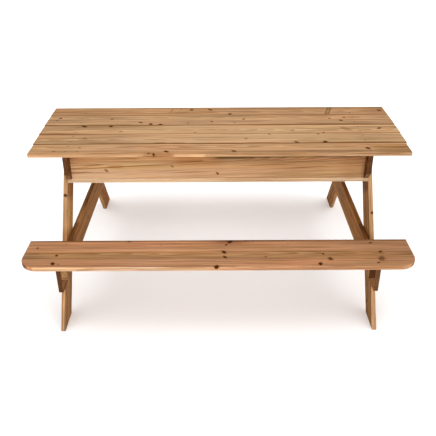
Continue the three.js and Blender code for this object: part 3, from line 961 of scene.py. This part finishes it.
# Marks that single boards carry, and corrections of their colour towards the photo's, stretch by
# stretch. Some corrections stand for light and shade rather than for the wood.
PATCHES = {
    "tabletop_board_1": [
        patch((0.59, 0.617), (-0.058, 0.056), (0.5, 0.46, 0.38), (0.003, 0.006), slant=0.3),
        patch((0.597, 0.61), (-0.05, 0.048), (1.45, 1.5, 1.6), (0.002, 0.006), slant=0.3),
        patch((-0.266, -0.26), (-0.03, 0.035), (0.72, 0.66, 0.58), (0.002, 0.006), slant=0.33),
        patch((-0.6, 0.0), FULL_WIDTH, (1.07, 1.08, 1.09), (0.1, 0.02)),
        patch((0.0, 1.0), FULL_WIDTH, (0.91, 0.94, 0.99), (0.08, 0.02)),
        patch((0.8, 1.0), FULL_WIDTH, (0.9, 0.86, 0.8), (0.05, 0.02)),
    ],
    "tabletop_board_2": [
        # Painted sheen: the board is lighter towards the table's middle.
        patch((-0.45, 0.4), (-0.08, 0.08), (1.1, 1.1, 1.12), (0.16, 0.02)),
        patch((-1.0, 1.0), (-0.08, 0.08), (0.95, 0.94, 0.93), (0.1, 0.02)),
        patch((0.0, 0.28), (-0.06, 0.06), (1.09, 1.08, 1.09), (0.06, 0.02)),
        patch((-0.33, 0.0), (0.058, 0.071), (1.13, 1.15, 1.18), (0.05, 0.002)),
        patch((-0.86, -0.68), (-0.0705, -0.058), (1.14, 1.2, 1.26), (0.03, 0.002)),
        patch((-0.46, -0.33), (-0.0705, -0.058), (1.12, 1.18, 1.22), (0.03, 0.002)),
        patch((0.2, 0.8), (-0.0725, -0.06), (0.78, 0.7, 0.6), (0.1, 0.004)),
    ],
    "tabletop_board_3": [
        # Painted sheen: the board is lighter towards the table's middle.
        patch((-0.42, 0.4), FULL_WIDTH, (1.1, 1.14, 1.18), (0.16, 0.02)),
        patch((-1.0, -0.5), FULL_WIDTH, (0.94, 0.92, 0.9), (0.16, 0.02)),
        patch((-1.0, -0.72), FULL_WIDTH, (0.92, 0.93, 0.94), (0.06, 0.02)),
        patch((-0.76, -0.3), (0.035, 0.06), (0.86, 0.79, 0.7), (0.06, 0.01)),
        patch((0.55, 1.0), (-0.06, -0.045), (0.84, 0.78, 0.7), (0.1, 0.006)),
    ],
    "tabletop_board_4": [
        # Painted sheen: the board is lighter towards the table's middle.
        patch((-0.42, 0.4), FULL_WIDTH, (1.12, 1.14, 1.18), (0.16, 0.02)),
        patch((-1.0, -0.5), FULL_WIDTH, (0.88, 0.87, 0.86), (0.16, 0.02)),
        patch((-1.0, -0.62), (0.004, 0.014), (0.74, 0.66, 0.58), (0.08, 0.003)),
        patch((-0.53, -0.33), (0.026, 0.032), (0.8, 0.72, 0.64), (0.04, 0.002)),
        patch((-0.9, -0.5), (-0.06, -0.05), (1.12, 1.16, 1.2), (0.03, 0.002)),
        patch((-0.32, -0.26), (-0.0615, -0.05), (0.55, 0.44, 0.34), (0.02, 0.002)),
        patch((-0.24, -0.17), (-0.0615, -0.052), (0.6, 0.5, 0.4), (0.02, 0.002)),
        patch((0.45, 0.85), (-0.0615, -0.052), (0.66, 0.56, 0.45), (0.08, 0.002)),
        patch((0.13, 0.28), (-0.0615, -0.052), (0.66, 0.56, 0.45), (0.03, 0.002)),
    ],
    "tabletop_board_5": [
        patch((-0.75, -0.1), (-0.05, 0.06), (1.03, 1.05, 1.13), (0.08, 0.01)),
        patch((0.66, 0.92), (0.026, 0.036), (0.74, 0.66, 0.56), (0.04, 0.003)),
        patch((-0.355, -0.222), (-0.062, -0.0545), (0.82, 0.78, 0.72), (0.012, 0.001)),
        patch((-0.07, 0.35), (-0.062, -0.056), (0.84, 0.85, 0.88), (0.04, 0.001)),
        patch((0.45, 1.0), (-0.062, -0.0565), (1.14, 1.2, 1.36), (0.06, 0.001)),
        patch((-1.0, 1.0), (-0.0545, -0.03), (0.9, 0.88, 0.84), (0.1, 0.006)),
        patch((-1.0, 1.0), (-0.0565, -0.0505), (0.8, 0.75, 0.66), (0.1, 0.0012)),
        patch((-1.0, 1.0), (-0.062, -0.054), (0.8, 0.79, 0.76), (0.1, 0.001), through=(0.004, 0.012)),
        patch((-0.215, -0.07), (-0.062, -0.0552), (1.32, 1.46, 1.62), (0.01, 0.0006),
              through=(-0.009, 0.004)),
        patch((-1.0, -0.3), (-0.062, -0.0565), (1.14, 1.17, 1.22), (0.1, 0.001), through=(-0.012, 0.004)),
        patch((0.25, 1.0), (-0.062, -0.0565), (0.8, 0.77, 0.72), (0.2, 0.001)),
        patch((0.4, 1.0), (-0.0555, 0.07), (0.9, 0.91, 0.9), (0.1, 0.001)),
        patch((0.74, 1.0), (-0.0555, 0.03), (0.84, 0.82, 0.72), (0.03, 0.004)),
    ],
    "seat_front": SEAT_BAND + [
        patch((-0.45, 0.35), (0.014, 0.12), (1.11, 1.12, 1.16), (0.15, 0.01)),
        patch((0.6, 1.0), (0.014, 0.12), (0.86, 0.86, 0.86), (0.12, 0.01)),
        patch((-1.0, -0.8), (0.014, 0.12), (0.92, 0.93, 0.94), (0.08, 0.01)),
        patch((0.1, 0.45), (-0.046, 0.012), (1.21, 1.21, 1.26), (0.08, 0.01)),
        patch((-0.45, 0.1), (-0.046, 0.012), (1.07, 1.07, 1.1), (0.08, 0.01)),
        patch((-1.0, -0.8), (-0.046, 0.012), (0.72, 0.73, 0.78), (0.08, 0.01)),
        patch((0.72, 1.0), (-0.046, 0.012), (0.88, 0.88, 0.92), (0.08, 0.01)),
        patch((-0.42, 0.18), (-0.113, -0.048), (1.12, 1.13, 1.19), (0.12, 0.008)),
        patch((-0.56, -0.28), (-0.12, -0.1135), (1.14, 1.2, 1.38), (0.06, 0.001)),
        patch((0.15, 0.6), (-0.12, -0.1135), (0.85, 0.87, 0.92), (0.08, 0.001)),
        # End grain and painted shade: the side of the left rounded corner is darker.
        patch((-1.0, -0.862), (-0.12, 0.03), (0.52, 0.42, 0.3), (0.006, 0.01), faces="narrow"),
        patch((-0.95, 0.02), (-0.12, -0.1135), (1.02, 1.18, 1.22), (0.1, 0.001)),
        patch((-0.95, 0.02), (-0.12, -0.112), (1.2, 1.24, 1.26), (0.1, 0.001), through=(0.003, 0.012)),
        patch((0.02, 0.95), (-0.12, -0.1135), (0.93, 0.93, 0.9), (0.1, 0.001)),
        patch((-0.09, 0.06), (0.085, 0.118), (0.66, 0.55, 0.42), (0.06, 0.012), slant=0.8),
    ],
    "seat_rear": SEAT_BAND,
    "apron_front": [
        patch((-0.75, -0.25), FULL_WIDTH, (1.05, 1.1, 1.12), (0.2, 0.01)),
        patch((0.2, 0.75), FULL_WIDTH, (0.9, 0.86, 0.8), (0.2, 0.01)),
        # Painted light: the strip under the tabletop's edge is lightened where the tabletop's shadow falls
        # on it.
        patch((-0.75, -0.03), (0.026, 0.08), (1.48, 1.4, 1.32), (0.06, 0.006)),
        patch((-0.38, -0.01), (0.026, 0.08), (1.14, 1.16, 1.17), (0.06, 0.006)),
        patch((-0.03, 0.33), (0.03, 0.08), (1.18, 1.17, 1.18), (0.06, 0.006)),
        patch((0.33, 0.75), (0.026, 0.08), (1.44, 1.4, 1.44), (0.06, 0.006)),
        # Painted shade and stain: a dark line along the apron's top, under the tabletop's edge.
        patch((-0.01, 0.14), (0.0375, 0.08), (0.42, 0.47, 0.4), (0.02, 0.002)),
        patch((0.14, 0.69), (0.042, 0.08), (0.34, 0.38, 0.34), (0.02, 0.002)),
        patch((-0.2, 0.02), (0.004, 0.044), (0.9, 0.8, 0.7), (0.03, 0.008)),
        patch((-0.75, -0.15), (-0.063, -0.015), (1.08, 1.1, 1.17), (0.08, 0.01)),
        patch((-0.53, -0.46), (-0.012, 0.008), (0.88, 0.77, 0.66), (0.015, 0.004)),
        patch((-0.75, 0.75), (-0.08, -0.015), (0.93, 0.98, 1.08), (0.1, 0.01)),
        patch((0.6, 0.75), (-0.08, 0.08), (0.85, 0.8, 0.75), (0.04, 0.01)),
        patch((-0.5, -0.1), (-0.08, -0.064), (0.82, 0.8, 0.76), (0.05, 0.002)),
        patch((-0.1, 0.75), (-0.08, -0.064), (0.66, 0.6, 0.54), (0.05, 0.002)),
    ],
    "stretcher_front": [
        patch((-0.8, 0.8), (-0.06, -0.052), (1.14, 1.4, 1.78), (0.1, 0.002)),
        patch((0.0, 0.46), (-0.06, -0.052), (0.82, 0.76, 0.7), (0.08, 0.002)),
    ],
    # The legs' patches are painted light and shade: painted shadow of the tabletop on the top of the broad
    # faces, painted shade where the seat covers the leg and below it, and lighter between the seat and the
    # tabletop.
    "leg_front_left": [
        patch((0.16, 0.6), FULL_WIDTH, (0.74, 0.66, 0.52), (0.03, 0.01), faces="broad"),
        patch((-0.04, 0.16), FULL_WIDTH, (1.24, 1.36, 1.45), (0.03, 0.01), faces="broad"),
        patch((-0.6, -0.22), FULL_WIDTH, (0.72, 0.72, 0.76), faces="broad"),
        patch((0.0, 0.6), FULL_WIDTH, (0.76, 0.8, 0.86), (0.05, 0.01), faces="narrow"),
        patch((-0.6, -0.13), FULL_WIDTH, (1.26, 1.34, 1.46), (0.03, 0.01), faces="narrow"),
        patch((-0.13, 0.0), FULL_WIDTH, (0.62, 0.56, 0.48), (0.03, 0.01)),
    ],
    "leg_front_right": [
        patch((0.02, 0.6), FULL_WIDTH, (0.98, 0.89, 0.76), faces="broad"),
        patch((0.185, 0.6), FULL_WIDTH, (0.56, 0.5, 0.44), (0.02, 0.01), faces="broad"),
        patch((-0.6, -0.22), FULL_WIDTH, (0.86, 0.85, 0.8), faces="broad"),
        patch((0.0, 0.6), FULL_WIDTH, (1.07, 1.12, 1.17), (0.05, 0.01), faces="narrow"),
        patch((-0.6, -0.13), FULL_WIDTH, (0.98, 1.14, 1.28), (0.03, 0.01), faces="narrow"),
        patch((-0.13, -0.03), FULL_WIDTH, (0.58, 0.52, 0.42), (0.03, 0.01)),
    ],
    # The seat beams' patches are painted shade: the top face darkens towards the front, where the seat and
    # the leg shade it, and the front of the broad face is darker too.
    "seat_beam_left": [
        patch((0.02, 0.8), (0.0595, 0.07), (0.8, 0.68, 0.46), (0.04, 0.001)),
        patch((-0.24, 0.02), (0.0595, 0.07), (0.5, 0.42, 0.3), (0.04, 0.001)),
        patch((-0.8, -0.24), (0.0595, 0.07), (0.34, 0.25, 0.16), (0.04, 0.001)),
        patch((-0.8, -0.36), (-0.07, 0.0595), (0.68, 0.64, 0.6), (0.06, 0.001), faces="broad"),
    ],
    "seat_beam_right": [
        patch((-0.27, 0.8), (0.0595, 0.07), (0.7, 0.53, 0.29), (0.03, 0.001)),
        patch((-0.8, -0.27), (0.0595, 0.07), (0.36, 0.25, 0.15), (0.03, 0.001)),
        patch((-0.8, -0.3), (-0.07, 0.0595), (0.76, 0.76, 0.78), (0.06, 0.001), faces="broad"),
    ],
}


# Knots of boards that the photo doesn't show: how many for each metre of half length, how far out
# they may lie against the board's half sizes, and their radii and darkness.
SCATTER_COUNT = 5
SCATTER_ALONG = 0.9
SCATTER_ACROSS = 0.75
SCATTER_RADII = (0.005, 0.010)
SCATTER_DARKNESS = (0.5, 0.9)


def scattered_knots(rng, board):
    """Knots for a board that is known only by its kind."""
    knots = []
    for _ in range(max(1, round(board["half_length"] * SCATTER_COUNT))):
        along = rng.uniform(-SCATTER_ALONG, SCATTER_ALONG) * board["half_length"]
        across = rng.uniform(-SCATTER_ACROSS, SCATTER_ACROSS) * board["half_width"]
        knots.append((along, across, rng.uniform(*SCATTER_RADII), rng.uniform(*SCATTER_DARKNESS)))
    return knots


def look_of(node, slot, board):
    rng = random.Random("look " + node)
    early, late = PINE_COLOURS[slot]
    knots = KNOTS.get(node) or scattered_knots(rng, board)
    slants = [random.Random(f"{node} knot {i}").uniform(-0.7, 0.7) for i in range(len(knots))]
    return {
        "end_dark": PALE_ENDS.get(node, END_DARKNESS[slot]),
        "early": early,
        "late": late,
        "knots": knots,
        "knot_slants": slants,
        "knot_stretch": KNOT_STRETCHES[slot],
        "edge_knots": EDGE_KNOTS.get(node, []),
        "broad_tint": next((t for start, t in BROAD_TINTS.items() if node.startswith(start)), WHITE),
        "seed": rng.uniform(0.0, 20.0),
        "pith": (
            rng.choice((-1, 1)) * rng.uniform(0.010, 0.030),
            rng.uniform(-0.5, 0.5) * board["half_width"],
            rng.choice((-1, 1)) * rng.uniform(0.025, 0.060),
        ),
        "ring": rng.uniform(0.0032, 0.0050),
        "contrast": CONTRASTS[slot],
        "calm": CALM_STRETCHES.get(node),
        "grain_slope": GRAIN_SLOPES.get(node, 0.0),
        "tint": BOARD_TINTS.get(node, WHITE),
        "grimy_sides": GRIMY_SIDES.get(node, ()),
        "patches": PATCHES.get(node, []),
    }


def dress_boards(screw_steel):
    pine_group()
    for node, axes, slot in families():
        board = measured(node, axes)
        name = node + "_pine"
        made = added(name, board_mesh(name, board))
        places = screw_places(node, board)
        if places:
            carve(made, turned_mesh(name + "_recesses", places, recess_rings()))
            screws = added(node + "_screws", turned_mesh(node + "_screws", places, screw_rings()))
            screws.data.materials.append(screw_steel)
            smoothed(screws)
            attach(screws, "root")
        made.data.materials.clear()
        made.data.materials.append(pine_material(name, board, look_of(node, slot, board)))
        smoothed(made)
        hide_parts(node)
        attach(made, "root")


# -------- bolts and nuts


def thread_ring(height):
    """One ring of a screw thread round the Z axis, at a height."""

    def reach_at(angle):
        phase = (height / BOLT_PITCH - angle / (2 * math.pi)) % 1.0
        return BOLT_RADIUS - THREAD_DEPTH * abs(2 * phase - 1)

    return around(height, reach_at)


def thread_rings(start, end):
    """Rings of a screw thread up the Z axis."""
    steps = round((end - start) / BOLT_PITCH * RINGS_PER_PITCH)
    return [thread_ring(start + (end - start) * k / steps) for k in range(steps + 1)]


def bolt_rings(tail):
    """A carriage bolt with its head's seat at height 0 and its threaded end down at tail."""
    rings = [ring(BOLT_RADIUS - 2 * BOLT_POINT, tail), ring(BOLT_RADIUS - BOLT_POINT, tail + BOLT_POINT)]
    rings += thread_rings(tail + THREAD_START, tail + THREAD_LENGTH)
    rings += [ring(BOLT_RADIUS, tail + THREAD_LENGTH + THREAD_RUNOUT), ring(BOLT_RADIUS, 0.0)]
    rings.append(ring(HEAD_RADIUS - HEAD_UNDERCUT, 0.0))
    for angle in map(math.radians, HEAD_ANGLES):
        rings.append(ring(HEAD_RADIUS * math.cos(angle), HEAD_HEIGHT * math.sin(angle)))
    return rings


def nut_rings():
    """A flanged nut on height 0, from its bore up the outside and back to the bore."""
    top = NUT_HEIGHT
    flat = math.cos(math.radians(30))

    def hexagon(radius, height):
        def reach_at(angle):
            to_flat = (angle + math.radians(30)) % math.radians(60) - math.radians(30)
            return radius * flat / math.cos(to_flat)

        return around(height, reach_at)

    return [
        ring(BOLT_RADIUS, 0.0),
        ring(NUT_FLANGE_RADIUS - NUT_SEAT_EASING, 0.0),
        ring(NUT_FLANGE_RADIUS, NUT_SEAT_HEIGHT),
        ring(NUT_FLANGE_RADIUS, NUT_FLANGE_THICKNESS - NUT_FLANGE_EDGE),
        ring(NUT_FLANGE_RADIUS - NUT_FLANGE_SLOPE, NUT_FLANGE_THICKNESS),
        hexagon(NUT_HEX_RADIUS, NUT_FLANGE_THICKNESS + NUT_FILLET),
        hexagon(NUT_HEX_RADIUS, top - NUT_CHAMFER),
        hexagon(NUT_HEX_RADIUS * NUT_CHAMFER_SHARE, top),
        ring(BOLT_RADIUS + NUT_MOUTH, top),
        ring(BOLT_RADIUS, top - NUT_MOUTH),
    ]


def dress_fasteners(steel):
    """Threaded bolts and flanged nuts in place of the plain ones."""
    for node in sorted(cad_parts):
        if not node.startswith(("carriage_bolt", "flanged_nut")):
            continue
        low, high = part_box(node)
        middle = (Vector(low) + Vector(high)) / 2
        outward = X if "_right" in node else -X
        outer_x = high[0] if "_right" in node else low[0]
        if node.startswith("carriage_bolt"):
            seat = Vector((outer_x - outward.x * HEAD_HEIGHT, middle.y, middle.z))
            rings, direction = bolt_rings(HEAD_HEIGHT - (high[0] - low[0])), outward
        else:
            seat = Vector((outer_x, middle.y, middle.z))
            rings, direction = nut_rings(), -outward
        made = added(node + "_detail", turned_mesh(node + "_detail", [(seat, direction)], rings))
        made.data.materials.append(steel)
        smoothed(made)
        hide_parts(node)
        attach(made, "root")


# -------- studio


def plain_material(name, colour, roughness):
    material = bpy.data.materials.new(name)
    material.use_nodes = True
    shader = material.node_tree.nodes["Principled BSDF"]
    shader.inputs["Base Color"].default_value = colour4(colour)
    shader.inputs["Roughness"].default_value = roughness
    return material


def make_floor():
    mesh = bpy.data.meshes.new("floor")
    w = FLOOR_HALF_WIDTH
    mesh.from_pydata([(-w, -w, 0), (w, -w, 0), (w, w, 0), (-w, w, 0)], [], [(0, 1, 2, 3)])
    mesh.materials.append(plain_material("floor", FLOOR_COLOUR, FLOOR_ROUGHNESS))
    floor = added("floor", mesh)
    return floor


def lit_by(lamp, floor, kind, shadow):
    """Let a lamp light either the floor alone or everything but the floor, with or without shadows."""
    lit = bpy.data.collections.new(lamp.name + "_lights")
    lit.objects.link(floor)
    lamp.light_linking.receiver_collection = lit
    lit.collection_objects[0].light_linking.link_state = "INCLUDE" if kind == "floor" else "EXCLUDE"
    if not shadow:
        lamp.light_linking.blocker_collection = lit


def make_lights(floor):
    world = bpy.data.worlds.new("studio")
    world.use_nodes = True
    background = world.node_tree.nodes["Background"]
    background.inputs["Color"].default_value = colour4(SKY_COLOUR)
    background.inputs["Strength"].default_value = SKY_STRENGTH
    bpy.context.scene.world = world
    for name, lamp in LAMPS.items():
        data = bpy.data.lights.new(name, "SUN")
        data.angle = math.radians(lamp["spread"])
        data.energy = lamp["strength"]
        across, up = math.radians(lamp["across"]), math.radians(lamp["up"])
        towards = Vector((math.sin(across) * math.cos(up), -math.cos(across) * math.cos(up), math.sin(up)))
        made = added(name, data)
        made.location = towards * LAMP_DISTANCE
        made.rotation_euler = (-towards).to_track_quat("-Z", "Y").to_euler()
        lit_by(made, floor, lamp["on"], lamp.get("shadow", True))


def make_camera():
    data = bpy.data.cameras.new("camera")
    data.sensor_width = SENSOR_WIDTH
    data.lens = CAMERA_LENS
    camera = added("camera", data)
    turn = Matrix.Rotation(math.radians(CAMERA_YAW), 4, "Z")
    tilt = Matrix.Rotation(math.radians(90 - CAMERA_PITCH), 4, "X")
    roll = Matrix.Rotation(math.radians(CAMERA_ROLL), 4, "Z")
    camera.matrix_world = Matrix.Translation(CAMERA_PLACE) @ turn @ tilt @ roll
    bpy.context.scene.camera = camera


# -------- the scene

bpy.context.scene.view_settings.view_transform = "Standard"
dress_boards(metal_material("screw_steel", **SCREW_STEEL))
dress_fasteners(metal_material("zinc_plate", **ZINC_PLATE))
make_lights(make_floor())
make_camera()
